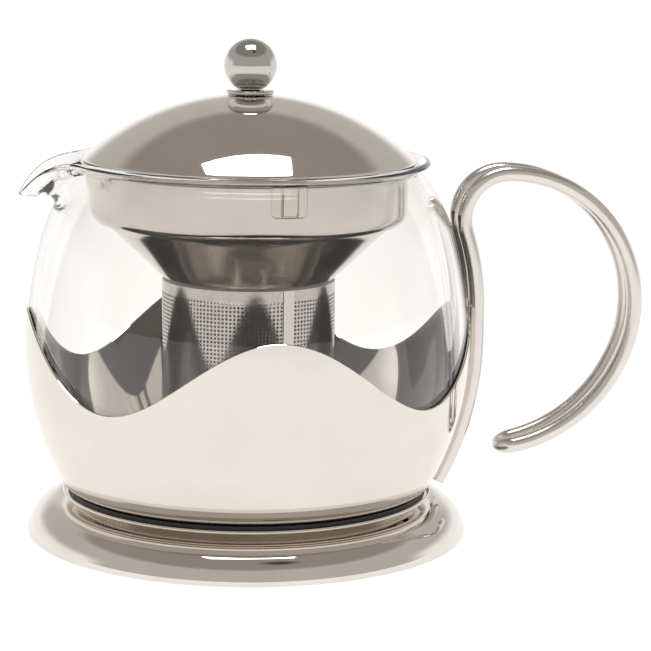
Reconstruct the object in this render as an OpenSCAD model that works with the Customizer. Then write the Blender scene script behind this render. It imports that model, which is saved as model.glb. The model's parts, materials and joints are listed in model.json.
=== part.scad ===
// Glass teapot with a lift-out steel infuser, a domed lid, a wavy steel cup, a wire handle
// and a spun foot. Millimetres. The pot's axis is Z and stands on the table at Z = 0.
// The handle is on +X and the pouring beak on -X.

/* [Glass pot] */
// Width of the glass at its widest
belly_d = 130.2; // [118:0.2:144]
// Height of the widest place above the table
belly_z = 57; // [52:0.5:62]
// Width of the glass at its foot, before the corner rounds off
glass_foot_d = 107.6; // [98:0.2:112]
// Height of the top of the rim above the table
rim_z = 111.3; // [104:0.1:122]
// Width of the opening at its narrowest
throat_d = 95.6; // [84:0.2:100]
// How far the rim flares out past the narrowest place
rim_flare = 5.2; // [4.6:0.1:7]
// Thickness of the glass
glass_t = 2.3; // [1.8:0.1:2.8]
// How far the pouring beak reaches past the rim
beak_reach = 14.8; // [10:0.2:18]
// Width of the pouring channel where it leaves the neck
beak_w = 21; // [17:0.5:25]

/* [Wavy cup] */
// Thickness of the cup's steel sheet
cup_t = 0.6; // [0.4:0.1:1]
// Mean height of the wavy edge above the table
wave_z = 56.5; // [50:0.5:60]
// How far the crests and troughs stand from the mean
wave_amp = 11.5; // [4:0.5:13]

/* [Foot] */
// Width of the foot
foot_d = 131; // [124:0.2:150]
// Radius of the foot's rounded flange
flange_r = 9.4; // [8:0.1:10]
// Height of the foot's deck
deck_z = 13; // [12:0.1:16]
// Width of the lip around the deck
lip_d = 110; // [108:0.5:114]
// Thickness of the foot's steel sheet
foot_t = 0.7; // [0.5:0.1:1]
// Height of the black seat ring between the foot and the cup
seat_h = 1; // [0.8:0.1:2.5]

/* [Handle] */
// Thickness of the handle rod
rod_d = 4.7; // [4:0.1:5.4]
// Distance between the rod's two runs
rod_pitch = 9.5; // [8:0.1:14]
// Height where the rods leave the cup and begin to lean in
lean_z = 66; // [60:0.5:70]
// How far the rods lean in over the shoulder
lean_in = 4.4; // [3:0.1:5]
// Radius of the small bend at the top of the handle
top_bend_r = 13.4; // [11:0.2:15]
// Radius of the handle's large bow
bow_r = 39.7; // [36:0.1:43]
// Radius of the bow's lower end
tail_r = 45; // [43:0.5:50]
// Height of the top of the handle's centre line
handle_top_z = 106.7; // [100:0.1:112]

/* [Infuser] */
// Thickness of the infuser's steel sheet
sheet_t = 0.6; // [0.4:0.1:0.8]
// Clearance between the collar and the narrowest place of the glass
collar_gap = 1.4; // [1.3:0.1:1.8]
// Height of the collar's straight wall
collar_h = 13.2; // [11:0.2:16]
// Radius of the collar's rounded shoulder
shoulder_r = 4.4; // [3:0.2:6]
// Height of the cone under the shoulder
cone_h = 16; // [12:0.5:20]
// Width of the basket
basket_d = 51.2; // [42:0.2:60]
// Depth of the basket below the cone
basket_h = 44; // [30:1:48]
// Thickness of the perforated sheet
mesh_t = 0.4; // [0.3:0.1:0.6]
// Width of the plain seam down the basket
seam_w = 3.3; // [2:0.1:6]

/* [Lid] */
// How far the lid's edge stops short of the infuser's flange
lid_inset = 0.5; // [0:0.1:1]
// Height of the dome above the lid's edge
dome_h = 18.9; // [14:0.2:26]
// Thickness of the lid's steel sheet
lid_t = 0.7; // [0.5:0.1:1]
// Depth of the skirt inside the collar
skirt_h = 7.5; // [4:0.5:10]
// Width of the knob's ball
ball_d = 15.4; // [12:0.2:20]
// Width of the knob's base
knob_base_d = 14; // [12:0.2:18]

/* [Hidden] */
$fn = 96;

// Clearances shared by pieces that fit together
same_body_gap = 0.1;  // between touching pieces that are joined for good
rest_gap = 0.3;       // between pieces that lift off one another
screw_gap = 0.3;      // between a screw and its hole

// Points along an arc about a centre, from one angle to another
function arc(centre, radius, from, to, steps, first = 0) =
    [for (i = [first:steps]) centre + radius * [cos(from + (to - from) * i / steps),
                                               sin(from + (to - from) * i / steps)]];
function reversed(points) = [for (i = [len(points) - 1:-1:0]) points[i]];

// Heights of the stack from the table up
seat_z = deck_z + seat_h;               // underside of the cup's floor
glass_z = seat_z + cup_t + same_body_gap * 2; // underside of the glass

// Side of the vessel: four tangent arcs, offset outward by a distance
belly_r = belly_d / 2;
corner_r = 4;
low_drop = belly_z - glass_z;
low_in = belly_r - glass_foot_d / 2;
low_r = (low_in * low_in + low_drop * low_drop) / (2 * low_in);
low_c = [belly_r - low_r, belly_z];
corner_c = [low_c[0] + sqrt(pow(low_r - corner_r, 2) - pow(low_drop - corner_r, 2)), glass_z + corner_r];
corner_a = atan2(corner_c[1] - low_c[1], corner_c[0] - low_c[0]);
neck_end = [throat_d / 2 + 2.4, rim_z - 3.3];
up_rise = 0.6065 * (neck_end[1] - belly_z);   // the slow arc's share of the height
up_in = 0.2846 * (belly_r - neck_end[0]);     // and of the way in
up_a = 2 * atan2(up_in, up_rise);
up_r = up_rise / sin(up_a);
up_c = [belly_r - up_r, belly_z];
up_end = up_c + up_r * [cos(up_a), sin(up_a)];
shoulder_run = neck_end - up_end;
shoulder_chord_a = atan2(-shoulder_run[0], shoulder_run[1]);
shoulder_turn = 2 * (shoulder_chord_a - up_a);
neck_r = norm(shoulder_run) / (2 * sin(shoulder_turn / 2));
neck_c = up_end - neck_r * [cos(up_a), sin(up_a)];

function vessel_low(off) = concat(
    arc(corner_c, corner_r + off, -90, corner_a, 6),
    arc(low_c, low_r + off, corner_a, 0, 16, 1));
function vessel_high(off, to) = arc(up_c, up_r + off, 0, to, 8, 1);
function vessel_neck(off, to) = arc(neck_c, neck_r + off, up_a, to, 10, 1);

// Glass rim and the raised middle of the glass floor
rim_bead_r = 0.9;
throat_r = throat_d / 2;
rim_d = throat_d + 2 * rim_flare;        // width over the flared rim
rim_c = [rim_d / 2 - rim_bead_r, rim_z - rim_bead_r];
throat_a = acos((throat_r - neck_c[0]) / (neck_r - glass_t));
punt_r = 34;
punt_h = 3.2;
function punt(base, from, to, steps) = [for (i = [0:steps])
    let (r = from + (to - from) * i / steps) [r, base + punt_h * (1 - pow(r / punt_r, 2))]];

// Pouring beak: a cone shell that droops from the neck, topped by a round cut
beak_x = rim_c[0] + rim_bead_r;
beak_c = [beak_x - 0.5, rim_z - 15.6];
beak_cut_r = 15.8;
beak_start = throat_r - 2;
beak_len = beak_x + beak_reach + 2 - beak_start;
beak_top_z = rim_z + 0.3;
beak_drop = 5.6;
beak_in_r = beak_w / 2;
beak_tip_r = 3;

// Cup, handle and foot
cup_in = same_body_gap * 2;
cup_out = cup_in + cup_t;
crest_a = asin((wave_z + wave_amp + 4 - belly_z) / up_r);
wave_ref_r = belly_r + cup_out;
rod_r = rod_d / 2;
rod_off = cup_out + same_body_gap + rod_r;
rod_x = sqrt(pow(belly_r + rod_off, 2) - pow(rod_pitch / 2, 2));
run_low_r = low_r + rod_off;
run_low_c = [rod_x - run_low_r, belly_z];
run_end_a = -asin((belly_z - seat_z) / run_low_r);
bend_c = [rod_x - lean_in + top_bend_r, handle_top_z - top_bend_r];
lean_rise = bend_c[1] - lean_z;
lean_side = top_bend_r - lean_in;
lean_r = (pow(lean_rise, 2) + pow(lean_side, 2) - pow(top_bend_r, 2)) / (2 * lean_in);
lean_a = asin(lean_rise / (lean_r + top_bend_r));
bow_c = [bend_c[0], handle_top_z - bow_r];
bow_end_a = -15;
tail_c = bow_c + (bow_r - tail_r) * [cos(bow_end_a), sin(bow_end_a)];
tail_end_a = -77;
hairpin = tail_c + tail_r * [cos(tail_end_a), sin(tail_end_a)];
bead_trim = 0.05;
bead_grow = 0.1;
hairpin_trim = bead_trim / (rod_pitch / 2) * 180 / PI;
lean_end = [rod_x - lean_r, lean_z] + lean_r * [cos(lean_a), sin(lean_a)];
bow_end = bow_c + bow_r * [cos(bow_end_a), sin(bow_end_a)];
// Places where two pieces of the rod meet, each with the angle of the arcs there
rod_joints = [[[rod_x, belly_z], 0], [[rod_x, lean_z], 0], [lean_end, lean_a],
    [[bend_c[0], handle_top_z], 90], [bow_end, bow_end_a], [hairpin, tail_end_a]];

foot_r = foot_d / 2;
lip_r = lip_d / 2;
bead_r = 0.8;
flange_c = [foot_r - flange_r, 0.2];
flange_in_a = 98;
shelf = flange_c + flange_r * [cos(flange_in_a), sin(flange_in_a)];
shelf_in = flange_c + (flange_r - foot_t) * [cos(flange_in_a), sin(flange_in_a)];
crease = [lip_r - 4.1, shelf[1] - 0.8];
crease_in = crease - [0, foot_t];
base_disc_r = foot_r - 2 * bead_r - rest_gap;
base_disc_t = 0.7;
screw_r = 2.5;
screw_head_r = 4.6;
screw_head_h = 2;
washer_r = 5.5;
washer_t = 0.7;
nut_h = 4;
nut_flats = 8;

// Infuser
collar_r = throat_r - collar_gap;
rest_z = rim_z - 1.5;
collar_flange_r = collar_r + 3;
shoulder_c = [collar_r - shoulder_r, rest_z - collar_h];
cone_top_z = shoulder_c[1] - shoulder_r;
basket_r = basket_d / 2;
spigot_r = basket_r - mesh_t - same_body_gap;
cone_end_z = cone_top_z - cone_h;
cone_a = atan2(cone_h, shoulder_c[0] - spigot_r);
cone_shift = sheet_t * tan(cone_a / 2);
spigot_h = 4.5;
wall_top_z = cone_end_z - 0.6;
wall_bottom_z = cone_end_z - basket_h;
hem_t = 0.5;
hem_h = 2.4;
floor_lift = 0.5;
floor_rim_h = 3.5;
seam_a = -71;
seam_t = 0.3;
clip_count = 3;
clip_a = -84;
clip_w = 10.2;
clip_h = 10.3;
clip_t = 0.4;
tongue_w = 3.8;
tongue_t = 0.3;
hook_h = 3.4;
hook_t = 0.3;

// Lid
collar_top_z = rest_z + sheet_t;
lid_d = 2 * (collar_flange_r - lid_inset);  // width of the lid
lid_r = lid_d / 2;
edge_r = 0.5;
lid_edge_z = collar_top_z + rest_gap + edge_r;
dome_r = (lid_r * lid_r + dome_h * dome_h) / (2 * dome_h);
dome_z = lid_edge_z + dome_h - dome_r;
dome_edge_a = asin((lid_edge_z - dome_z) / dome_r);
skirt_r = collar_r - sheet_t - 0.4;
skirt_flange_w = 2;
skirt_z = collar_top_z + rest_gap;
knob_z = dome_z + sqrt(dome_r * dome_r - pow(knob_base_d / 2, 2));
knob_hole_r = 2.3;
knob_seat_r = knob_base_d / 2 - 1;
neck_h = 1.9;
neck_waist_r = 3.9;
ball_r = ball_d / 2;
ball_z = knob_z + neck_h + sqrt(ball_r * ball_r - neck_waist_r * neck_waist_r);
knob_screw_r = 2;
under_z = dome_z + sqrt(pow(dome_r - lid_t, 2) - pow(washer_r, 2));

// Spun steel foot: rounded flange, a shelf that falls to a sharp waist, a flaring wall and the deck
module foot_shell() {
    color("silver")
    difference() {
        rotate_extrude($fn = 128)
        union() {
            polygon(concat(
                arc(flange_c, flange_r, 3, flange_in_a, 20),
                reversed(arc(flange_c, flange_r - foot_t, 3, flange_in_a, 20))));
            translate([foot_r - bead_r, bead_r])
            circle(bead_r, $fn = 24);
            polygon([shelf, crease, crease_in, shelf_in]);
            polygon([crease, [lip_r - 0.4, deck_z - foot_t], [lip_r - 0.1, deck_z - 0.25],
                [lip_r - 0.5, deck_z], [lip_r - 2, deck_z], [lip_r - 2, deck_z - foot_t],
                crease + [-foot_t * 1.2, 0], crease_in]);
            translate([0, deck_z - foot_t])
            square([lip_r - 1.5, foot_t]);
        }
        translate([0, 0, deck_z / 2])
        cylinder(h = deck_z, r = screw_r + screw_gap);
    }
}

// Flat disc that closes the foot from below and rests on the table
module base_disc() {
    color("gray")
    cylinder(h = base_disc_t, r = base_disc_r, $fn = 128);
}

// Black silicone ring that the cup is clamped on
module seat_ring() {
    color("black")
    translate([0, 0, deck_z])
    difference() {
        cylinder(h = seat_h, r = glass_foot_d / 2 - 0.4, $fn = 128);
        translate([0, 0, -1])
        cylinder(h = seat_h + 2, r = glass_foot_d / 2 - 8, $fn = 128);
    }
}

// Screw through the middle of the cup's floor and the foot's deck
module foot_screw() {
    color("dimgray")
    difference() {
        union() {
            translate([0, 0, seat_z + cup_t])
            cylinder(h = screw_head_h, r = screw_head_r);
            translate([0, 0, deck_z - foot_t - washer_t - nut_h - 1])
            cylinder(h = seat_h + foot_t + washer_t + nut_h + cup_t + 2, r = screw_r);
        }
        translate([0, 0, seat_z + cup_t + screw_head_h])
        cube([1.2, screw_head_r * 3, 1.6], center = true);
    }
}

module foot_washer() {
    color("silver")
    translate([0, 0, deck_z - foot_t - washer_t])
    difference() {
        cylinder(h = washer_t, r = washer_r);
        translate([0, 0, -1])
        cylinder(h = washer_t + 2, r = screw_r + screw_gap);
    }
}

module foot_nut() {
    color("silver")
    translate([0, 0, deck_z - foot_t - washer_t - nut_h])
    difference() {
        cylinder(h = nut_h, r = nut_flats / 2 / cos(30), $fn = 6);
        translate([0, 0, -1])
        cylinder(h = nut_h + 2, r = screw_r + same_body_gap);
    }
}

// One trough of the wavy edge, cut outward from the axis
module wave_trough() {
    half = wave_ref_r * sin(45);
    span = [for (i = [-12:12]) let (s = half * i / 12)
        [s, wave_z - wave_amp * cos(4 * asin(s / wave_ref_r))]];
    crest = wave_z + wave_amp;
    rotate([90, 0, 90])
    linear_extrude(height = belly_d)
    polygon(concat([[-half - 3, crest]], span, [[half + 3, crest], [half + 3, crest + 30], [-half - 3, crest + 30]]));
}

// Steel cup that hugs the lower half of the glass and ends in four waves
module wave_cup() {
    color("lightgray")
    difference() {
        rotate_extrude($fn = 128)
        polygon(concat([[0, seat_z]],
            vessel_low(cup_out), vessel_high(cup_out, crest_a),
            reversed(concat(vessel_low(cup_in), vessel_high(cup_in, crest_a))),
            [[0, seat_z + cup_t]]));
        translate([0, 0, seat_z - 1])
        cylinder(h = cup_t + 2, r = screw_r + screw_gap);
        for (k = [0:3])
            rotate([0, 0, 45 + 90 * k])
            translate([belly_r * 0.4, 0, 0])
            wave_trough();
    }
}

// Drooping cone along the pouring channel; grow widens it from the channel to its outside
module beak_cone(grow) {
    tilt = atan2(beak_drop, beak_len);
    translate([-beak_start, 0, beak_top_z])
    rotate([0, -90 - tilt, 0])
    cylinder(h = beak_len / cos(tilt), r1 = beak_in_r + grow, r2 = beak_tip_r + grow);
}

// Blown glass pot with a flared rim and a pulled pouring beak
module glass_pot() {
    outline = concat(
        punt(glass_z, 0, punt_r, 8),
        vessel_low(0), vessel_high(0, up_a), vessel_neck(0, up_a + shoulder_turn),
        arc(rim_c, rim_bead_r, -50, 130, 8),
        reversed(concat([for (p = vessel_low(-glass_t)) p], vessel_high(-glass_t, up_a),
            vessel_neck(-glass_t, throat_a))),
        reversed(punt(glass_z + glass_t, 0, punt_r, 8)));
    color("lightcyan")
    difference() {
        union() {
            rotate_extrude($fn = 128)
            polygon(outline);
            difference() {
                intersection() {
                    beak_cone(glass_t * 0.8);
                    translate([-beak_c[0], 30, beak_c[1]])
                    rotate([90, 0, 0])
                    cylinder(h = 60, r = beak_cut_r);
                }
                translate([0, 0, glass_z])
                cylinder(h = rim_z, r = collar_flange_r + rest_gap, $fn = 128);
                rotate_extrude($fn = 128)
                polygon(concat([[0, belly_z]], vessel_high(-glass_t / 2, up_a),
                    vessel_neck(-glass_t / 2, up_a + shoulder_turn), [[0, rim_z - 4]]));
            }
        }
        beak_cone(0);
    }
}

// A bent piece of the handle rod in the XZ plane, trimmed a hair short inside its end beads
module bend(centre, radius, from, to) {
    trim = bead_trim / radius * 180 / PI;
    translate([centre[0], 0, centre[1]])
    rotate([90, 0, 0])
    rotate([0, 0, from + trim])
    rotate_extrude(angle = to - from - 2 * trim)
    translate([radius, 0])
    circle(rod_r, $fn = 32);
}

// Bead that joins two pieces of the rod, a hair thicker than the rod
module rod_bead(place, angle) {
    translate([place[0], 0, place[1]])
    rotate([0, -angle, 0])
    sphere(rod_r + bead_grow, $fn = 48);
}

// One run of the handle, from the cup's foot to the hairpin
module handle_run() {
    union() {
        bend(run_low_c, run_low_r, run_end_a, 0);
        translate([rod_x, 0, belly_z + bead_trim])
        cylinder(h = lean_z - belly_z - 2 * bead_trim, r = rod_r, $fn = 32);
        bend([rod_x - lean_r, lean_z], lean_r, 0, lean_a);
        bend(bend_c, top_bend_r, 90, 180 + lean_a);
        bend(bow_c, bow_r, bow_end_a, 90);
        bend(tail_c, tail_r, tail_end_a, bow_end_a);
        for (joint = rod_joints)
            rod_bead(joint[0], joint[1]);
    }
}

// Steel rod bent double into a bow: two runs joined by a hairpin at the free end
module handle_rod() {
    color("silver")
    union() {
        for (side = [-1, 1])
            translate([0, side * rod_pitch / 2, 0])
            handle_run();
        translate([hairpin[0], 0, hairpin[1]])
        rotate([0, 90 - tail_end_a, 0])
        rotate([0, 0, -90 + hairpin_trim])
        rotate_extrude(angle = 180 - 2 * hairpin_trim)
        translate([rod_pitch / 2, 0])
        circle(rod_r, $fn = 32);
    }
}

// Pressed funnel: a flange that rests in the glass rim, a straight collar, a cone and a spigot
module infuser_funnel() {
    outside = concat(
        [[collar_flange_r - sheet_t / 2, rest_z + sheet_t], [collar_flange_r, rest_z + sheet_t / 2],
         [collar_flange_r - sheet_t / 2, rest_z], [collar_r + 0.4, rest_z], [collar_r, rest_z - 0.4]],
        arc(shoulder_c, shoulder_r, 0, -90, 8),
        [[spigot_r, cone_end_z], [spigot_r, cone_end_z - spigot_h]]);
    inside = concat(
        [[spigot_r - sheet_t, cone_end_z - spigot_h], [spigot_r - sheet_t, cone_end_z + cone_shift]],
        arc(shoulder_c, shoulder_r - sheet_t, -90, 0, 8),
        [[collar_r - sheet_t, rest_z + sheet_t]]);
    color("lightgray")
    rotate_extrude($fn = 128)
    polygon(concat(outside, inside));
}

// Perforated tube of the basket, drawn plain
module basket_wall() {
    color("gainsboro")
    translate([0, 0, wall_bottom_z])
    difference() {
        cylinder(h = wall_top_z - wall_bottom_z, r = basket_r, $fn = 128);
        translate([0, 0, -1])
        cylinder(h = wall_top_z - wall_bottom_z + 2, r = basket_r - mesh_t, $fn = 128);
    }
}

// Ring sector: a strip of sheet curved about the axis, centred on an angle
module strip(r_in, thick, wide, z, high, at) {
    turn = wide / r_in * 180 / PI;
    translate([0, 0, z])
    rotate([0, 0, at - turn / 2])
    rotate_extrude(angle = turn, $fn = 128)
    translate([r_in, 0])
    square([thick, high]);
}

// Plain overlap where the perforated sheet is welded into a tube
module basket_seam() {
    color("silver")
    strip(basket_r, seam_t, seam_w, wall_bottom_z + hem_h + same_body_gap,
        wall_top_z - wall_bottom_z - hem_h - same_body_gap, seam_a);
}

// Perforated floor pressed as a shallow cup, drawn plain
module basket_floor() {
    outer = basket_r - mesh_t - same_body_gap;
    color("gainsboro")
    translate([0, 0, wall_bottom_z + floor_lift])
    difference() {
        cylinder(h = floor_rim_h, r = outer, $fn = 128);
        translate([0, 0, mesh_t])
        cylinder(h = floor_rim_h, r = outer - mesh_t, $fn = 128);
    }
}

// Folded hem around the bottom edge of the basket
module basket_hem() {
    color("silver")
    translate([0, 0, wall_bottom_z - hem_t])
    difference() {
        cylinder(h = hem_h + hem_t, r = basket_r + hem_t, $fn = 128);
        translate([0, 0, hem_t])
        cylinder(h = hem_h + 1, r = basket_r + same_body_gap / 2, $fn = 128);
        translate([0, 0, -1])
        cylinder(h = hem_t + 2, r = basket_r - mesh_t - 0.6, $fn = 128);
    }
}

// Spring clips spot-welded to the collar, each with a raised tongue and a folded hook
module grip_clips() {
    top = rest_z - rest_gap;
    low = top - clip_h;
    skin = collar_r + same_body_gap;
    color("silver")
    for (k = [0:clip_count - 1])
        union() {
            at = clip_a + 360 / clip_count * k;
            strip(skin, clip_t, clip_w, low, clip_h - 1, at);
            strip(skin + clip_t / 2, clip_t / 2 + tongue_t, tongue_w, low + 1, clip_h - 1.2, at);
            strip(skin + clip_t * 0.75, clip_t / 4 + tongue_t + hook_t, tongue_w + 1, top - hook_h, hook_h, at);
        }
}

// Polished dome with a rolled edge
module lid_dome() {
    color("silver")
    difference() {
        rotate_extrude($fn = 128)
        union() {
            polygon(concat(
                arc([0, dome_z], dome_r, dome_edge_a, 90, 24),
                arc([0, dome_z], dome_r - lid_t, 90, dome_edge_a, 24)));
            translate([lid_r - edge_r, lid_edge_z])
            circle(edge_r, $fn = 24);
        }
        translate([0, 0, dome_z + dome_r - 3])
        cylinder(h = 6, r = knob_hole_r);
    }
}

// Ring under the dome that drops inside the collar and keeps the lid in place
module lid_skirt() {
    color("lightgray")
    translate([0, 0, skirt_z - skirt_h])
    difference() {
        union() {
            cylinder(h = skirt_h, r = skirt_r, $fn = 128);
            translate([0, 0, skirt_h - 0.1])
            cylinder(h = 0.5, r = skirt_r + skirt_flange_w, $fn = 128);
        }
        translate([0, 0, -1])
        cylinder(h = skirt_h + 2, r = skirt_r - sheet_t, $fn = 128);
    }
}

// Turned base of the knob: a rounded foot and a cone up to the waist
module knob_base() {
    base_r = knob_base_d / 2;
    color("silver")
    difference() {
        translate([0, 0, knob_z])
        rotate_extrude()
        polygon(concat(
            [[0, 0.4], [base_r - 1, 0.4]],
            arc([base_r - 0.5, 0.8], 0.5, -50, 70, 8),
            [[neck_waist_r, neck_h - 0.2], [0, neck_h - 0.2]]));
        translate([0, 0, knob_z - 1])
        cylinder(h = neck_h + 2, r = knob_screw_r + screw_gap);
    }
}

// Ball of the knob with a blind hole for the screw
module knob_ball() {
    color("silver")
    difference() {
        union() {
            translate([0, 0, ball_z])
            sphere(ball_r);
            translate([0, 0, knob_z + neck_h - same_body_gap])
            cylinder(h = ball_z - knob_z - neck_h, r = neck_waist_r);
        }
        translate([0, 0, knob_z])
        cylinder(h = neck_h + ball_r, r = knob_screw_r + same_body_gap);
        translate([-ball_r, -ball_r, knob_z + neck_h - same_body_gap - ball_d])
        cube([ball_d, ball_d, ball_d]);
    }
}

// Washer between the screw's head and the underside of the dome
module knob_washer() {
    color("gray")
    translate([0, 0, under_z - washer_t - same_body_gap])
    difference() {
        cylinder(h = washer_t, r = washer_r);
        translate([0, 0, -1])
        cylinder(h = washer_t + 2, r = knob_screw_r + screw_gap);
    }
}

// Screw that holds the knob from under the lid
module knob_screw() {
    head_h = 1.8;
    top = under_z - washer_t - same_body_gap;
    color("dimgray")
    difference() {
        union() {
            translate([0, 0, top - head_h])
            cylinder(h = head_h, r = 4);
            translate([0, 0, top - 0.5])
            cylinder(h = knob_z + neck_h + ball_r - 1 - top, r = knob_screw_r);
        }
        translate([0, 0, top - head_h])
        cube([1, 12, 1.2], center = true);
    }
}

foot_shell();
base_disc();
seat_ring();
foot_screw();
foot_washer();
foot_nut();
wave_cup();
glass_pot();
handle_rod();
infuser_funnel();
basket_wall();
basket_seam();
basket_floor();
basket_hem();
grip_clips();
lid_dome();
lid_skirt();
knob_base();
knob_ball();
knob_washer();
knob_screw();
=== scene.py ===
# %% [markdown]
# # A glass teapot with a lift-out infuser
# This notebook dresses an exact model of a teapot as a studio picture. The exact model gives
# every size and place. Here each visible piece gets the smooth form and the finish that the
# real one has: blown glass, spun and mirror-polished steel, fine perforated sheet, satin rod.

# %% The frame and its measures
import json
import math
import bpy
import bmesh
import numpy as np
from mathutils import Matrix, Vector


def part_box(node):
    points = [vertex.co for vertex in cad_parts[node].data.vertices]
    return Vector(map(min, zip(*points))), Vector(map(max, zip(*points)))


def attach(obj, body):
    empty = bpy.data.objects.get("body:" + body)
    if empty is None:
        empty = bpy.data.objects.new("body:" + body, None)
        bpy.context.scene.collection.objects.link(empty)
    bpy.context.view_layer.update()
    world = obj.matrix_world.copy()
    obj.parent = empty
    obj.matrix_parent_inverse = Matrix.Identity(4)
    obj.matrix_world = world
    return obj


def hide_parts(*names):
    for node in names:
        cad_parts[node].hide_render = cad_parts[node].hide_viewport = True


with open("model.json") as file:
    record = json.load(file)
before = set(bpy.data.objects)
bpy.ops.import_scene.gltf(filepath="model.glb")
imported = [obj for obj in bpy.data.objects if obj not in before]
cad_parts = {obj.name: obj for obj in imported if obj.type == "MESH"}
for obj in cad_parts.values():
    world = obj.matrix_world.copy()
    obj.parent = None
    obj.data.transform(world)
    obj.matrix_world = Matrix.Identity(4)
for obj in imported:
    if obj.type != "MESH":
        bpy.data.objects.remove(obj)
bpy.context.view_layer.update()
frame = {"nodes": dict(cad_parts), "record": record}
MM = 1000.0
dressed = {}
replaced = set()


def size(node):
    """Lowest and highest corner of a piece, in millimetres."""
    lo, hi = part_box(node)
    return np.array(lo) * MM, np.array(hi) * MM


# %% [markdown]
# ## Turning numbers into surfaces
# Nearly everything on a teapot is spun, blown or bent, so a piece is a grid of points: one
# direction runs along a section, the other runs round the axis or along a path. A grid needs
# no modelling by hand, and its resolution is chosen where it is made.

# %% Grid of points to mesh


def grid_faces(rows, cols, wrap_rows, wrap_cols):
    """Quads between neighbours of a rows x cols grid. Point (i, j) has number i * cols + j."""
    i = np.arange(rows if wrap_rows else rows - 1)[:, None]
    j = np.arange(cols if wrap_cols else cols - 1)[None, :]
    ni, nj = (i + 1) % rows, (j + 1) % cols
    quads = [i * cols + j, i * cols + nj, ni * cols + nj, ni * cols + j]
    return np.stack([np.broadcast_to(q, (i.size, j.size)) for q in quads], -1).reshape(-1, 4)


def solid(name, points, faces, body, slot, nodes, sharp=32.0):
    """Closed mesh from points in millimetres. Points that coincide are joined, so poles and
    seams close, and the faces are turned outward."""
    mesh = bpy.data.meshes.new(name)
    mesh.from_pydata((np.asarray(points).reshape(-1, 3) / MM).tolist(), [], [list(f) for f in faces])
    work = bmesh.new()
    work.from_mesh(mesh)
    bmesh.ops.remove_doubles(work, verts=work.verts, dist=1e-7)
    bmesh.ops.recalc_face_normals(work, faces=work.faces)
    work.to_mesh(mesh)
    work.free()
    mesh.shade_smooth()
    mesh.set_sharp_from_angle(angle=math.radians(sharp))
    piece = bpy.data.objects.new(name, mesh)
    bpy.context.scene.collection.objects.link(piece)
    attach(piece, body)
    dressed.setdefault(slot, []).append(piece)
    if nodes:
        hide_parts(*nodes)
        replaced.update(nodes)
    print(name, "has", len(mesh.vertices), "points and", len(mesh.polygons), "faces")
    return piece


def turned(name, section, body, slot, nodes, steps=256, sharp=32.0):
    """A section (radius, height) carried round the axis: point = (r cos a, r sin a, z)."""
    section = np.asarray(section)
    closed = section[0, 0] > 0.01
    a = np.linspace(0, 2 * np.pi, steps, endpoint=False)
    r, z = section[:, 0][:, None], section[:, 1][:, None]
    points = np.stack([r * np.cos(a), r * np.sin(a), z + 0 * a], -1)
    return solid(name, points, grid_faces(len(section), steps, closed, True), body, slot, nodes, sharp)


def arc(centre, radius, start, end, count):
    """Points on a circle from one angle to another, in degrees, as (radius, height)."""
    a = np.radians(np.linspace(start, end, count))
    return np.stack([centre[0] + radius * np.cos(a), centre[1] + radius * np.sin(a)], -1)


def line(a, b, count):
    """Points on a straight stretch, both ends included."""
    t = np.linspace(0, 1, count)[:, None]
    return np.asarray(a) * (1 - t) + np.asarray(b) * t


def toward_angle(degrees):
    """Unit step (radius, height) at an angle from the horizontal."""
    return np.array([math.cos(math.radians(degrees)), math.sin(math.radians(degrees))])


def smooth(x, low, high):
    """Eased step: 0 below low, 1 above high, t * t * (3 - 2 t) between."""
    t = np.clip((x - low) / (high - low), 0, 1)
    return t * t * (3 - 2 * t)


# %% [markdown]
# ## The side of the vessel
# Glass and steel cup share one side: a slow arc from the foot to the belly, a slower one above
# it, and a tight shoulder to the throat. Keeping the arcs' centres and changing only their
# radii gives walls of even thickness, which is how blown glass and drawn steel behave.

# %% The vessel's arcs
glass_lo, glass_hi = size("glass_pot")
cup_lo, cup_hi = size("wave_cup")
glass_wall = 2.3
throat_radius = 47.8
belly_radius = glass_hi[1]
belly_height = 57.0
glass_floor = glass_lo[2]
rim_top = glass_hi[2]
foot_radius = 53.8
corner = 4.0
low_drop = belly_height - glass_floor
low_radius = ((belly_radius - foot_radius) ** 2 + low_drop ** 2) / (2 * (belly_radius - foot_radius))
low_centre = np.array([belly_radius - low_radius, belly_height])
corner_centre = np.array([low_centre[0] + math.sqrt((low_radius - corner) ** 2 - (low_drop - corner) ** 2),
                          glass_floor + corner])
corner_angle = math.degrees(math.atan2(corner_centre[1] - low_centre[1], corner_centre[0] - low_centre[0]))
neck_end = np.array([throat_radius + 2.4, rim_top - 3.3])
high_rise = 0.6065 * (neck_end[1] - belly_height)
high_angle = 2 * math.degrees(math.atan2(0.2846 * (belly_radius - neck_end[0]), high_rise))
high_radius = high_rise / math.sin(math.radians(high_angle))
high_centre = np.array([belly_radius - high_radius, belly_height])
high_end = high_centre + high_radius * toward_angle(high_angle)
run = neck_end - high_end
neck_turn = 2 * (math.degrees(math.atan2(-run[0], run[1])) - high_angle)
neck_radius = np.linalg.norm(run) / (2 * math.sin(math.radians(neck_turn / 2)))
neck_centre = high_end - neck_radius * (high_end - high_centre) / high_radius
throat_angle = math.degrees(math.acos((throat_radius - neck_centre[0]) / (neck_radius - glass_wall)))


def vessel_side(off, neck_to):
    """Section of the side at a distance off outward, from the floor's corner to the throat."""
    return np.concatenate([
        arc(corner_centre, corner + off, -90, corner_angle, 10),
        arc(low_centre, low_radius + off, corner_angle, 0, 40)[1:],
        arc(high_centre, high_radius + off, 0, high_angle, 30)[1:],
        arc(neck_centre, neck_radius + off, high_angle, neck_to, 24)[1:]])


print("belly", round(belly_radius, 2), "mm, shoulder arc", round(neck_radius, 2), "mm")

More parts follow.
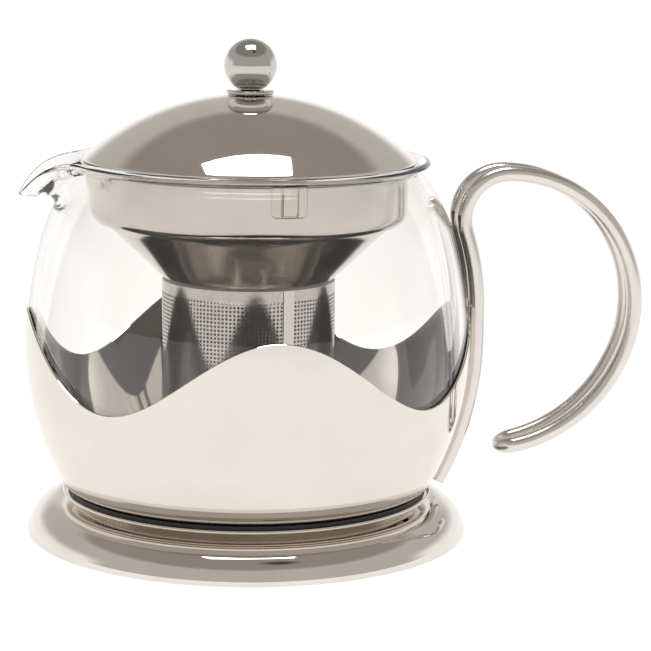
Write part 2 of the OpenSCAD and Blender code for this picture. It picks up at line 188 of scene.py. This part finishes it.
# %% [markdown]
# ## Blown glass with a pulled beak
# The pot is blown into a mould, its rim is flared and fire-polished, and the beak is pulled
# out with a tool while the rim is soft. So the beak is the same wall, moved: the closer a point
# is to the rim and to the beak's middle, the further it goes out and down.

# %% Glass pot
bead = 0.9
rim_radius = 53.0
rim_centre = np.array([rim_radius - bead, rim_top - bead])
punt_radius, punt_height = 34.0, 3.2


def punt(base, count):
    """Raised middle of the floor: height = base + h (1 - (r / R)^2), from the axis outward."""
    r = np.linspace(0, punt_radius, count)
    return np.stack([r, base + punt_height * (1 - (r / punt_radius) ** 2)], -1)


glass_section = np.concatenate([
    punt(glass_floor, 12), vessel_side(0, high_angle + neck_turn),
    arc(rim_centre, bead, -50, 130, 14),
    vessel_side(-glass_wall, throat_angle)[::-1], punt(glass_floor + glass_wall, 12)[::-1]])
beak_tip = -glass_lo[0]
turn = np.linspace(0, 2 * np.pi, 384, endpoint=False)
r = glass_section[:, 0][:, None] + 0 * turn
z = glass_section[:, 1][:, None] + 0 * turn
width = np.exp(-((turn - np.pi) / 0.205) ** 2)
rise = smooth(z, rim_top - 14.5, rim_top - 0.3)
pull = width * rise
r = r + (beak_tip - rim_radius) * pull
z = z - 9.6 * width ** 2.4 * rise ** 1.5
glass_points = np.stack([r * np.cos(turn), r * np.sin(turn), z], -1)
solid("glass_pot_blown", glass_points, grid_faces(len(glass_section), len(turn), False, True),
      "pot", "clear_glass", ["glass_pot"], sharp=60)

# %% [markdown]
# ## The cup with the wavy edge
# The steel cup is drawn from one sheet, polished, and its edge is cut in four waves. Each
# column of the grid runs from the floor up to its own height on the wave, so the edge is a
# clean curve instead of a staircase.

# %% Wavy cup
cup_gap, cup_sheet = 0.2, 0.6
crest = cup_hi[2]
wave_size = 11.5
wave_mean = crest - wave_size
wave = wave_mean + wave_size * np.cos(4 * turn)


def side_radius(height, off):
    """Radius of the vessel's side at a height: on the low arc below the belly, on the high one above."""
    low = low_centre[0] + np.sqrt((low_radius + off) ** 2 - (height - belly_height) ** 2)
    high = high_centre[0] + np.sqrt((high_radius + off) ** 2 - (height - belly_height) ** 2)
    return np.where(height < belly_height, low, high)


def cup_skin(off, top):
    """Floor, corner and side of the cup at a distance off, up to a height that varies round it."""
    bend = arc(corner_centre, corner + off, -90, corner_angle, 10)
    start = bend[-1, 1]
    t = np.linspace(0, 1, 60)[1:, None]
    h = start + (top[None, :] - start) * t
    r_side = side_radius(h, off)
    floor_r = np.linspace(2.9, bend[0, 0], 6)[:-1]
    flat = np.concatenate([np.stack([floor_r, 0 * floor_r + bend[0, 1]], -1), bend])
    r_low = flat[:, 0][:, None] + 0 * turn
    z_low = flat[:, 1][:, None] + 0 * turn
    return np.concatenate([r_low, r_side]), np.concatenate([z_low, h])


r_out, z_out = cup_skin(cup_gap + cup_sheet, wave - 0.18)
r_in, z_in = cup_skin(cup_gap, wave - 0.18)
r_lip = (r_out[-1] + r_in[-1])[None, :] / 2
r = np.concatenate([r_out, r_lip, r_in[::-1]])
z = np.concatenate([z_out, wave[None, :], z_in[::-1]])
cup_points = np.stack([r * np.cos(turn), r * np.sin(turn), z], -1)
solid("wave_cup_drawn", cup_points, grid_faces(len(r), len(turn), True, True),
      "pot", "mirror_steel", ["wave_cup"], sharp=40)

# %% [markdown]
# ## The spun foot
# A disc of sheet is spun over a form: a round flange, a shelf that falls to a sharp
# waist, and a wall that flares out again to a lip around the deck. Small radii catch the light,
# and a rolled bead hides the cut edge.

# %% Foot
foot_hi = size("foot_shell")[1]
foot_sheet = 0.7
flange = 9.4
foot_edge = foot_hi[1]
deck = foot_hi[2]
lip = 55.0
flange_centre = np.array([foot_edge - flange, 0.2])
shelf = flange_centre + flange * toward_angle(98)
waist = np.array([lip - 4.1, shelf[1] - 0.8])
lip_centre = np.array([lip - 0.6, deck - 0.5])
foot_section = np.concatenate([
    arc([foot_edge - 0.8, 0.8], 0.8, -170, 0, 14),
    arc(flange_centre, flange, 5, 97, 48),
    line(shelf + [-0.2, -0.04], waist + [0.1, 0.02], 8),
    line(waist + [-0.02, 0.06], lip_centre + [0.42, -0.27], 14),
    arc(lip_centre, 0.5, -10, 90, 8),
    line([lip - 2.5, deck], [2.9, deck], 12),
    line([2.9, deck - foot_sheet], [lip - 1.6, deck - foot_sheet], 12),
    line([lip - 1.9, deck - foot_sheet - 0.3], waist + [-0.9, 0], 6),
    line(waist + [-0.1, -foot_sheet], shelf + [0, -foot_sheet], 6),
    arc(flange_centre, flange - foot_sheet, 97, 5, 48)])
turned("foot_spun", foot_section, "pot", "mirror_steel", ["foot_shell"], steps=320, sharp=40)

# %% [markdown]
# ## The handle
# One steel rod is bent double: up the side of the cup, in over the shoulder, round a large
# bow and through a hairpin, then all the way back. A tube needs a frame that doesn't twist.
# The in-plane normal of the bow is the same for both runs, so it serves for the whole rod.

# %% Handle rod
rod_lo, rod_hi = size("handle_rod")
rod = 2.35
pitch = rod_hi[1] - rod_lo[1] - 2 * rod
handle_top = rod_hi[2] - rod
rod_off = cup_gap + cup_sheet + 0.1 + rod
rod_x = math.sqrt((belly_radius + rod_off) ** 2 - (pitch / 2) ** 2)
lean_start, lean_in, small_bend, bow, tail = 66.0, 4.4, 13.4, 39.7, 45.0
bend_centre = np.array([rod_x - lean_in + small_bend, handle_top - small_bend])
lean_rise = bend_centre[1] - lean_start
lean = (lean_rise ** 2 + (small_bend - lean_in) ** 2 - small_bend ** 2) / (2 * lean_in)
lean_angle = math.degrees(math.asin(lean_rise / (lean + small_bend)))
bow_centre = np.array([bend_centre[0], handle_top - bow])
bow_end, tail_end = -15, -77
tail_centre = bow_centre + (bow - tail) * toward_angle(bow_end)
low_run = low_radius + rod_off
low_start = -math.degrees(math.asin((belly_height - cup_lo[2]) / low_run))
run_path = np.concatenate([
    arc([rod_x - low_run, belly_height], low_run, low_start, 0, 40),
    line([rod_x, belly_height], [rod_x, lean_start], 6)[1:],
    arc([rod_x - lean, lean_start], lean, 0, lean_angle, 24)[1:],
    arc(bend_centre, small_bend, 180 + lean_angle, 90, 28)[1:],
    arc(bow_centre, bow, 90, bow_end, 80)[1:],
    arc(tail_centre, tail, bow_end, tail_end, 48)[1:]])
along = np.gradient(run_path, axis=0)
along /= np.linalg.norm(along, axis=1)[:, None]
across = np.stack([-along[:, 1], along[:, 0]], -1)
half = pitch / 2
theta = np.linspace(0, np.pi, 30)[1:-1]
tip, tip_along, tip_across = run_path[-1], along[-1], across[-1]
pin = tip + half * np.sin(theta)[:, None] * tip_along
path = np.concatenate([
    np.stack([run_path[:, 0], 0 * run_path[:, 0] - half, run_path[:, 1]], -1),
    np.stack([pin[:, 0], -half * np.cos(theta), pin[:, 1]], -1),
    np.stack([run_path[::-1, 0], 0 * run_path[:, 0] + half, run_path[::-1, 1]], -1)])
normal = np.concatenate([across, np.repeat(tip_across[None], len(theta), 0), across[::-1]])
normal = np.stack([normal[:, 0], 0 * normal[:, 0], normal[:, 1]], -1)
tangent = np.gradient(path, axis=0)
tangent /= np.linalg.norm(tangent, axis=1)[:, None]
side = np.cross(tangent, normal)


def tube(centres, first, second, radius, around):
    """Round tube: point = centre + R (cos a * first + sin a * second). Both ends close on the axis."""
    a = np.linspace(0, 2 * np.pi, around, endpoint=False)[None, :, None]
    ring = centres[:, None] + radius * (np.cos(a) * first[:, None] + np.sin(a) * second[:, None])
    ends = [np.repeat(c[None, None], around, 1) for c in (centres[0], centres[-1])]
    return np.concatenate([ends[0], ring, ends[1]])


rod_points = tube(path, normal, side, rod, 40)
solid("handle_bent", rod_points, grid_faces(len(rod_points), 40, False, True),
      "pot", "satin_steel", ["handle_rod"], sharp=50)

# %% [markdown]
# ## The infuser's funnel
# The funnel is pressed and spun from one sheet: a thin flange that hangs in the glass rim, a
# straight collar, a rounded shoulder with a crease, and a cone down to the basket.

# %% Funnel
fun_lo, fun_hi = size("infuser_funnel")
sheet = 0.6
rest = fun_hi[2] - sheet
collar = fun_hi[1] - 3.0
shoulder = 4.4
shoulder_centre = np.array([collar - shoulder, rest - 13.2])
mesh_lo, mesh_hi = size("basket_wall")
basket = mesh_hi[1]
mesh_sheet = 0.4
spigot = basket - mesh_sheet - 0.1
cone_end = fun_lo[2] + 4.5
funnel_section = np.concatenate([
    arc([fun_hi[1] - sheet / 2, rest + sheet / 2], sheet / 2, 90, -90, 8),
    arc([collar + 0.5, rest - 0.5], 0.5, 90, 180, 6),
    arc(shoulder_centre, shoulder, 0, -84, 18),
    line([shoulder_centre[0] - 0.6, shoulder_centre[1] - shoulder - 0.3], [spigot + 0.3, cone_end + 0.3], 10),
    line([spigot, cone_end - 0.3], [spigot, fun_lo[2]], 4),
    line([spigot - sheet, fun_lo[2]], [spigot - sheet, cone_end + 0.3], 4),
    line([spigot - 0.2, cone_end + 0.8], [shoulder_centre[0] - 0.9, shoulder_centre[1] - shoulder + 0.3], 10),
    arc(shoulder_centre, shoulder - sheet, -84, 0, 18),
    [[collar - sheet, rest + sheet - 0.3]],
    [[collar - sheet + 0.3, rest + sheet]]])
turned("funnel_pressed", funnel_section, "infuser", "bright_sheet", ["infuser_funnel"], steps=288)

# %% [markdown]
# ## Perforated sheet
# The basket is rolled from sheet with round holes in a square grid, about 0.7 mm across and
# 1.1 mm apart. Every hole is real here: one cell is an eight-sided hole in a square, and a
# whole sheet of cells is worked out at once and bent round the axis. A plain margin stays at
# both ends, and a plain strip where the sheet overlaps.

# %% Cells with holes


def perforated(u_edges, v_edges, holed, place, hole):
    """Sheet of cells on a (u, v) grid, both faces and the walls of the holes.
    place(u, v, side) bends it into space. A holed cell is a ring of four triangles and four
    quads between its corners and its hole; a plain cell is one quad."""
    nu, nv = len(u_edges), len(v_edges)
    grid_u, grid_v = np.meshgrid(u_edges, v_edges, indexing="ij")
    ci, cj = np.nonzero(holed)
    mid_u = (u_edges[ci] + u_edges[ci + 1]) / 2
    mid_v = (v_edges[cj] + v_edges[cj + 1]) / 2
    spin = np.radians(22.5 + 45 * np.arange(8))
    hole_u = mid_u[:, None] + hole[0] * np.cos(spin)
    hole_v = mid_v[:, None] + hole[1] * np.sin(spin)
    corner_count, cells = nu * nv, len(ci)
    layer = corner_count + cells * 8
    points = np.concatenate([np.concatenate([place(grid_u, grid_v, s).reshape(-1, 3),
                                             place(hole_u, hole_v, s).reshape(-1, 3)]) for s in (0, 1)])
    c = np.stack([(ci + 1) * nv + cj + 1, ci * nv + cj + 1, ci * nv + cj, (ci + 1) * nv + cj], -1)
    h = corner_count + np.arange(cells)[:, None] * 8 + np.arange(8)
    tris = np.stack([c, h[:, 1::2], h[:, 0::2]], -1).reshape(-1, 3)
    quads = np.stack([c, np.roll(c, -1, 1), np.roll(h[:, 0::2], -1, 1), h[:, 1::2]], -1).reshape(-1, 4)
    pi, pj = np.nonzero(~holed)
    plain = np.stack([pi * nv + pj, (pi + 1) * nv + pj, (pi + 1) * nv + pj + 1, pi * nv + pj + 1], -1)
    walls = np.stack([h, np.roll(h, -1, 1), np.roll(h, -1, 1) + layer, h + layer], -1).reshape(-1, 4)
    faces = [f for t in (tris, quads, plain) for k in (0, layer) for f in (t + k).tolist()]
    return points, faces + walls.tolist(), layer


hole_pitch, hole_radius = 1.14, 0.37
seam_width, seam_middle = 3.3, math.radians(-71)
plain_top = 3.0
columns = int((2 * math.pi * basket - seam_width) / hole_pitch)
seam_half = seam_width / basket / 2
u_edges = seam_middle + seam_half + (2 * math.pi - 2 * seam_half) * np.arange(columns + 1) / columns
u_edges = np.append(u_edges, seam_middle + seam_half + 2 * math.pi)
holes_top = mesh_hi[2] - plain_top
rows = int((holes_top - mesh_lo[2] - 2.6) / hole_pitch)
v_edges = np.concatenate([[mesh_lo[2]], holes_top - hole_pitch * np.arange(rows, -1, -1), [mesh_hi[2]]])
holed = np.zeros((len(u_edges) - 1, len(v_edges) - 1), bool)
holed[:columns, 1:-1] = True


def round_axis(u, v, side):
    """Bends the sheet round the axis: u is the angle, v the height."""
    r = basket - mesh_sheet * side
    return np.stack([r * np.cos(u), r * np.sin(u), v + 0 * u], -1)


basket_points, basket_faces, layer = perforated(u_edges, v_edges, holed, round_axis,
                                                (hole_radius / basket, hole_radius))
nv = len(v_edges)
ring = np.arange(len(u_edges) - 1) * nv
for end in (0, nv - 1):
    near, far_side = ring + end, ring + nv + end
    basket_faces += np.stack([near, far_side, far_side + layer, near + layer], -1).tolist()
solid("basket_perforated", basket_points, basket_faces, "infuser", "perforated_sheet",
      ["basket_wall"], sharp=40)
print("holes in the wall:", int(holed.sum()))

# %% [markdown]
# ## The basket's floor
# The floor has the same holes, punched in a square field inside a plain rim. The field is a
# thin plate of cells, and the rim is a turned ring that overlaps its ragged edge.

# %% Perforated floor
floor_lo, floor_hi = size("basket_floor")
field = 20.5
steps = int(2 * field / hole_pitch)
edges = (np.arange(steps + 1) - steps / 2) * hole_pitch
middle = (edges[1:] + edges[:-1]) / 2
far = np.hypot(middle[:, None], middle[None, :])


def floor_plate(u, v, side):
    """Flat sheet: u and v are the plan, side picks the upper or lower face. Cells past the field
    are drawn in to a circle, so the plate ends round."""
    reach = np.maximum(np.hypot(u, v), 1e-6)
    pull_in = np.minimum(reach, 21.4) / reach
    return np.stack([u * pull_in, v * pull_in, 0 * u + floor_lo[2] + 0.08 + 0.24 * side], -1)


plate_points, plate_faces, layer = perforated(edges, edges, far < field - 1.2, floor_plate,
                                              (hole_radius, hole_radius))
ne = len(edges)
loop = np.concatenate([np.arange(ne) * ne, (ne - 1) * ne + np.arange(1, ne),
                       np.arange(ne - 2, -1, -1) * ne + ne - 1, np.arange(ne - 2, 0, -1)])
nxt = np.roll(loop, -1)
plate_faces += np.stack([loop, nxt, nxt + layer, loop + layer], -1).tolist()
solid("floor_field", plate_points, plate_faces, "infuser", "perforated_sheet", [], sharp=40)
floor_edge, floor_low, floor_high = floor_hi[1], floor_lo[2], floor_hi[2]
rim_inside = 20.0
rim_section = [
    [rim_inside, floor_low], [floor_edge - 0.5, floor_low], [floor_edge, floor_low + 0.5],
    [floor_edge, floor_high], [floor_edge - mesh_sheet, floor_high],
    [floor_edge - mesh_sheet, floor_low + 0.7], [floor_edge - 0.7, floor_low + mesh_sheet],
    [rim_inside, floor_low + mesh_sheet]]
turned("floor_rim", rim_section, "infuser", "perforated_sheet", ["basket_floor"], steps=192)

# %% [markdown]
# ## Grip clips
# Three small spring clips are welded to the collar. Each is a plate with a raised tongue that
# folds over at the top and rounded lower corners. The plate is a height map: a base thickness
# plus two eased steps for the tongue and the fold.

# %% Clips
clip_lo, clip_hi = size("grip_clips")
clip_width, tongue = 10.2, 3.8
v = np.linspace(0, 1, 60)[:, None]
u = np.linspace(-1, 1, 72)[None, :]
clip_height = clip_hi[2] - clip_lo[2]
corner_cut = 1.6
low_edge = np.clip(1 - v * clip_height / corner_cut, 0, 1)
half_width = clip_width / 2 - corner_cut * (1 - np.sqrt(1 - low_edge ** 2))
wide = u * half_width
high = clip_lo[2] + v * clip_height + 0 * u
on_tongue = 1 - smooth(np.abs(wide), tongue / 2 - 0.12, tongue / 2 + 0.12)
fold_wide = 1 - smooth(np.abs(wide), tongue / 2 + 0.4, tongue / 2 + 0.6)
on_fold = fold_wide * smooth(high, clip_hi[2] - 3.5, clip_hi[2] - 3.3)
groove = np.exp(-((np.abs(wide) - tongue / 2 - 0.25) / 0.22) ** 4) * (1 - on_fold) * smooth(v, 0.05, 0.08)
from_edge = np.minimum(half_width - np.abs(wide), np.minimum(high - clip_lo[2], clip_hi[2] - high))
rounded = 0.1 + 0.9 * np.sqrt(smooth(from_edge, -0.05, 0.5))
thick = (0.50 + 0.22 * on_tongue * smooth(v, 0.05, 0.08) + 0.35 * on_fold - 0.46 * groove) * rounded
clip_base = collar + 0.1
clip_count, first_clip = 3, -84
for number in range(clip_count):
    at = math.radians(first_clip + 360 / clip_count * number)
    angle = at + wide / clip_base
    outer, inner = clip_base + thick, clip_base + 0 * thick
    shell = [np.stack([s * np.cos(angle), s * np.sin(angle), high], -1) for s in (outer, inner)]
    block = np.concatenate([shell[1][:1], shell[0], shell[1][::-1]])
    faces = grid_faces(len(block), block.shape[1], False, False).tolist()
    rows_n, cols_n = shell[0].shape[:2]
    k = np.arange(rows_n - 1)
    for col, back in ((0, 0), (cols_n - 1, cols_n - 1)):
        first = (k + 1) * cols_n + col
        mirror = (2 * rows_n - k) * cols_n + back
        faces += np.stack([first, first + cols_n, mirror - cols_n, mirror], -1).tolist()
    solid(f"grip_clip_{number + 1}", block, faces, "infuser", "bright_sheet",
          ["grip_clips"] if number == 0 else [], sharp=30)

# %% [markdown]
# ## The lid
# The lid is spun from one disc into a shallow dome, and its edge is rolled so that it doesn't
# cut. A sphere's arc gives the dome, offset inward by the sheet's thickness.

# %% Dome
lid_lo, lid_hi = size("lid_dome")
lid_radius, lid_edge = lid_hi[1], lid_lo[2] + 0.5
dome_rise = lid_hi[2] - lid_edge
dome = (lid_radius ** 2 + dome_rise ** 2) / (2 * dome_rise)
dome_centre = np.array([0, lid_hi[2] - dome])
edge_angle = math.degrees(math.asin((lid_edge - dome_centre[1]) / dome))
dome_top = math.degrees(math.acos(2.3 / dome))
dome_section = np.concatenate([
    arc([lid_radius - 0.5, lid_edge], 0.5, -180, -20, 10),
    arc(dome_centre, dome, edge_angle + 0.15, dome_top, 90),
    arc(dome_centre, dome - 0.7, dome_top, edge_angle + 0.3, 90)])
turned("lid_spun", dome_section, "lid", "mirror_steel", ["lid_dome"], steps=320)

# %% [markdown]
# ## The knob
# A ball with a narrow waist on a rounded base, both turned from bar, so both are sections
# carried round the axis. The ball stops at the waist, where it meets the base.

# %% Knob
base_lo, base_hi = size("knob_base")
ball_lo, ball_hi = size("knob_ball")
base_r, low = base_hi[1], base_lo[2]
base_section = np.concatenate([
    [[2.4, low]], [[base_r - 1.7, low]],
    arc([base_r - 0.65, low + 0.42], 0.65, -95, 60, 18),
    line([base_r - 0.9, low + 1.05], [3.95, base_hi[2] - 0.15], 10), [[2.4, base_hi[2]]]])
turned("knob_base_turned", base_section, "lid", "mirror_steel", ["knob_base"], steps=128)
ball_r = (ball_hi[1] - ball_lo[1]) / 2
ball_z = ball_hi[2] - ball_r
waist_angle = -math.degrees(math.acos(3.9 / ball_r))
ball_section = np.concatenate([
    [[0, ball_lo[2]]], [[3.9, ball_lo[2]]], arc([0, ball_z], ball_r, waist_angle, 90, 90)])
turned("knob_ball_turned", ball_section, "lid", "mirror_steel", ["knob_ball"], steps=160)

# %% [markdown]
# ## A small language for shader maths
# Finishes are sums and products of patterns. Wrapping a socket in a class lets those be
# written as plain expressions, and each expression adds its Math nodes.

# %% Shader expressions


class Value:
    """A number that varies over a surface. Python's operators on it add Math nodes."""

    def __init__(self, tree, socket):
        self.tree, self.socket = tree, socket

    def node(self, kind, settings=None, inputs=None, output=0):
        """Adds a node of any type: its settings first, then the values or links of its sockets."""
        made = self.tree.nodes.new(kind)
        for key, value in (settings or {}).items():
            setattr(made, key, value)
        for key, value in (inputs or {}).items():
            if isinstance(value, Value):
                self.tree.links.new(value.socket, made.inputs[key])
            else:
                made.inputs[key].default_value = value
        return Value(self.tree, made.outputs[output])

    def math(self, operation, first, second=0.0):
        return self.node("ShaderNodeMath", {"operation": operation}, {0: first, 1: second})

    def __add__(self, other):
        return self.math("ADD", self, other)

    def __mul__(self, other):
        return self.math("MULTIPLY", self, other)

    def __sub__(self, other):
        return self.math("SUBTRACT", self, other)

    def __rsub__(self, other):
        return self.math("SUBTRACT", other, self)

    def __pow__(self, other):
        return self.math("POWER", self, other)

    __radd__ = __add__
    __rmul__ = __mul__

    def step(self, low, high):
        """Eased step between two levels."""
        return self.node("ShaderNodeMapRange", {"interpolation_type": "SMOOTHSTEP"},
                         {"Value": self, "From Min": low, "From Max": high})

    def blend(self, first, second):
        """Colour that goes from first to second as this value goes from 0 to 1."""
        return self.node("ShaderNodeMix", {"data_type": "RGBA"}, {0: self, 6: first, 7: second}, 2)


# %% [markdown]
# ## Putting a finish on its pieces
# The exact model names a finish for each piece, and so does each piece made above. One
# material is made for each name and given to all its pieces, so a finish is tuned in one place.

# %% Finishes
pieces_of = {}
for part in frame["record"]["subparts"]:
    if part["node"] not in replaced:
        pieces_of.setdefault(part["material_slot"], []).append(frame["nodes"][part["node"]])
for slot, made in dressed.items():
    pieces_of.setdefault(slot, []).extend(made)


def finish(slot, **fixed):
    """New material on every piece of a slot, with its fixed values set on the shader. Gives back
    the shader, and the place on the piece in metres as a value to build patterns from."""
    material = bpy.data.materials.new(slot)
    material.use_nodes = True
    tree = material.node_tree
    shader = tree.nodes["Principled BSDF"]
    for key, value in fixed.items():
        shader.inputs[key.replace("_", " ")].default_value = value
    place = Value(tree, tree.nodes.new("ShaderNodeTexCoord").outputs["Object"])
    for piece in pieces_of[slot]:
        piece.data.materials.clear()
        piece.data.materials.append(material)
    print("finish", slot, "on", len(pieces_of[slot]), "pieces")
    return shader, place


def feed(shader, name, value):
    """Lets a varying value drive one of the shader's sockets."""
    value.tree.links.new(value.socket, shader.inputs[name])


def noise(place, scale, detail=2.0, stretch=(1, 1, 1)):
    """Soft random pattern from 0 to 1. Scale is in features per metre, stretch squeezes it along an axis."""
    put = place.node("ShaderNodeMapping", {}, {"Vector": place, "Scale": stretch})
    return place.node("ShaderNodeTexNoise", {}, {"Vector": put, "Scale": scale, "Detail": detail})


def relief(shader, height, depth, strength=1.0):
    """Shallow relief: height 0 to 1 over a depth in metres."""
    feed(shader, "Normal", height.node("ShaderNodeBump", {}, {"Height": height, "Strength": strength,
                                                              "Distance": depth}))


# %% [markdown]
# ### Polished steel
# Stainless steel is buffed to a mirror. It is slightly warm and a little darker than silver.
# Hand buffing leaves very faint waves and wiped-in haze, so both are added, each well below
# a tenth of a millimetre. The knob is chromed, so above the dome the metal is more neutral.

# %% Mirror steel
shader, place = finish("mirror_steel", Metallic=1.0)
haze = noise(place, 60, 3)
buffed = haze.step(0.3, 0.7).blend((0.74, 0.70, 0.65, 1), (0.77, 0.73, 0.68, 1))
knob_low = base_lo[2] / MM
on_knob = place.node("ShaderNodeSeparateXYZ", {}, {"Vector": place}, 2).step(knob_low - 0.0004, knob_low)
feed(shader, "Base Color", on_knob.blend(buffed, (0.58, 0.565, 0.55, 1)))
feed(shader, "Roughness", haze * 0.03 + noise(place, 900, 2) * 0.02 + 0.012)
relief(shader, noise(place, 45, 1), 0.00012, 0.35)

# %% [markdown]
# ### Spun sheet
# The funnel and the clips are bright but not buffed. The spinning tool leaves fine rings round
# the axis, seen as a soft, slightly drawn-out shine.

# %% Bright sheet
shader, place = finish("bright_sheet", Metallic=1.0)
rings = noise(place, 1.0, 2, (60, 60, 4200))
feed(shader, "Base Color", noise(place, 80).blend((0.61, 0.57, 0.525, 1), (0.68, 0.635, 0.59, 1)))
feed(shader, "Roughness", rings * 0.10 + noise(place, 70) * 0.06 + 0.08)
relief(shader, rings, 0.00001, 0.5)

# %% [markdown]
# ### Perforated sheet
# Punched sheet is duller than spun sheet, because the punch leaves it slightly rough. Its darker steel colour
# is partly painted shade for the walls of the holes and partly the duller tone of punched steel, and fine
# uneven roughness gives the dullness.

# %% Perforated sheet
shader, place = finish("perforated_sheet", Metallic=1.0)
# darker base colour: punched steel's duller tone plus painted shade of the hole walls, with random variation
feed(shader, "Base Color", noise(place, 300, 3).blend((0.46, 0.435, 0.40, 1), (0.56, 0.53, 0.495, 1)))
feed(shader, "Roughness", noise(place, 500, 3) * 0.08 + 0.12)

# %% [markdown]
# ### Satin steel
# The handle's rod is drawn and lightly brushed along its length, and the plate under the foot
# has the same satin. Noise squeezed along the rod gives the brush marks.

# %% Satin steel
shader, place = finish("satin_steel", Metallic=1.0)
scratch = noise(place, 1.0, 3, (500, 2600, 160))
feed(shader, "Base Color", noise(place, 120).blend((0.70, 0.665, 0.625, 1), (0.78, 0.745, 0.71, 1)))
feed(shader, "Roughness", scratch * 0.14 + 0.13)
relief(shader, scratch, 0.00001, 0.6)

# %% [markdown]
# ### Fasteners
# Screws, nut and washers are turned, so their marks run round them. They sit out of sight, so a
# plain turned steel is enough.

# %% Fasteners
shader, place = finish("fastener_steel", Metallic=1.0)
marks = noise(place, 1.0, 2, (900, 900, 5000))
feed(shader, "Base Color", marks.blend((0.60, 0.58, 0.56, 1), (0.72, 0.70, 0.68, 1)))
feed(shader, "Roughness", marks * 0.15 + 0.18)

# %% [markdown]
# ### Clear glass
# Borosilicate glass bends light by about 1.47 and is nearly colourless. Hand work at the rim
# leaves the faintest waviness.

# %% Clear glass
shader, place = finish("clear_glass", Base_Color=(0.992, 0.988, 0.980, 1), Roughness=0.0, IOR=1.47,
                       Transmission_Weight=1.0)
relief(shader, noise(place, 30, 1), 0.0002, 0.2)

# %% [markdown]
# ### Black silicone
# The ring that the cup is clamped on is moulded silicone: black, and dull with a fine grain.

# %% Black silicone
shader, place = finish("black_silicone", Base_Color=(0.012, 0.012, 0.012, 1))
feed(shader, "Roughness", noise(place, 700, 3) * 0.15 + 0.45)

# %% [markdown]
# ## The studio
# Polished steel shows its surroundings, so the studio is the picture. The sweep is white behind
# and below. In front and overhead the room is a warm grey that darkens upward, with one large
# soft lamp almost straight above: that lamp is the white patch on the lid, the knob and the foot.
# A small dark card beside it gives the steel a black accent.

# %% Floor and room
floor_mesh = bpy.data.meshes.new("floor")
reach = 6.0
sheet_corners = [(-reach, -reach, 0), (reach, -reach, 0), (reach, reach, 0), (-reach, reach, 0)]
floor_mesh.from_pydata(sheet_corners, [], [(0, 1, 2, 3)])
floor = bpy.data.objects.new("floor", floor_mesh)
floor.location.z = -0.0003
bpy.context.scene.collection.objects.link(floor)
paper = bpy.data.materials.new("paper")
paper.use_nodes = True
paper_shader = paper.node_tree.nodes["Principled BSDF"]
paper_shader.inputs["Base Color"].default_value = (0.30, 0.30, 0.30, 1)
paper_shader.inputs["Roughness"].default_value = 0.9
paper_shader.inputs["Specular IOR Level"].default_value = 0.0
paper_shader.inputs["Emission Color"].default_value = (1.0, 0.99, 0.975, 1)
paper_shader.inputs["Emission Strength"].default_value = 0.90
floor_mesh.materials.append(paper)

room = bpy.data.worlds.new("studio")
bpy.context.scene.world = room
room.use_nodes = True
tree = room.node_tree
toward = Value(tree, tree.nodes.new("ShaderNodeTexCoord").outputs["Generated"])
split = toward.node("ShaderNodeSeparateXYZ", {}, {"Vector": toward})
toward_y = Value(tree, split.socket.node.outputs["Y"])
toward_z = Value(tree, split.socket.node.outputs["Z"])
behind = toward_y.step(-0.15, 0.2)
low = 1 - toward_z.step(0.10, 0.34)
top = toward_z.step(0.58, 0.70)
card_way = Vector((0.16, -0.42, 0.89)).normalized()
off_card = toward.node("ShaderNodeVectorMath", {"operation": "DISTANCE"}, {0: toward, 1: card_way}, 1)
card = 1 - off_card.step(0.04, 0.17)
white, pale = (1.06, 1.05, 1.04, 1), (0.56, 0.535, 0.51, 1)
grey, black = (0.33, 0.305, 0.28, 1), (0.07, 0.065, 0.06, 1)
shade = card.blend((behind * low).blend(top.blend(pale, grey), white), black)
tree.links.new(shade.socket, tree.nodes["Background"].inputs["Color"])
tree.nodes["Background"].inputs["Strength"].default_value = 1.0


def lamp(name, wide, deep, where, power, tint):
    """Soft rectangular lamp that faces the teapot."""
    light = bpy.data.lights.new(name, "AREA")
    light.shape, light.size, light.size_y = "RECTANGLE", wide, deep
    light.energy, light.color = power, tint
    made = bpy.data.objects.new(name, light)
    made.location = where
    aim = Vector((0, 0, 0.07)) - made.location
    made.rotation_euler = aim.to_track_quat("-Z", "Y").to_euler()
    bpy.context.scene.collection.objects.link(made)
    return made


lamps = [lamp("overhead", 0.56, 0.42, (0.0, -0.01, 1.15), 4.2, (1, 0.985, 0.965))]
print("lamps:", len(lamps))

# %% [markdown]
# ## The camera
# A long lens a little above the rim, about 70 cm away, so that the lid shows its dome, the
# rim its ellipse, and the wave keeps its true shape.

# %% Camera
side_angle, turn_in, down, roll = (math.radians(k) for k in (-7.647, -1.876, 10.232, 0.846))
away, height = 0.6997, 0.1879
heading = side_angle + turn_in
ahead = Vector((-math.sin(heading) * math.cos(down), math.cos(heading) * math.cos(down), -math.sin(down)))
level = Vector((math.cos(heading), math.sin(heading), 0))
upward = level.cross(ahead)
right = math.cos(roll) * level + math.sin(roll) * upward
over = math.cos(roll) * upward - math.sin(roll) * level
lens = bpy.data.cameras.new("camera")
lens.sensor_width, lens.lens, lens.clip_start = 36.0, 132.48, 0.01
camera = bpy.data.objects.new("camera", lens)
bpy.context.scene.collection.objects.link(camera)
camera.matrix_world = Matrix((right, over, -ahead)).transposed().to_4x4()
camera.location = (away * math.sin(side_angle), -away * math.cos(side_angle), height)
bpy.context.scene.camera = camera
bpy.context.scene.view_settings.view_transform = "Standard"
print("camera at", tuple(round(k, 3) for k in camera.location))
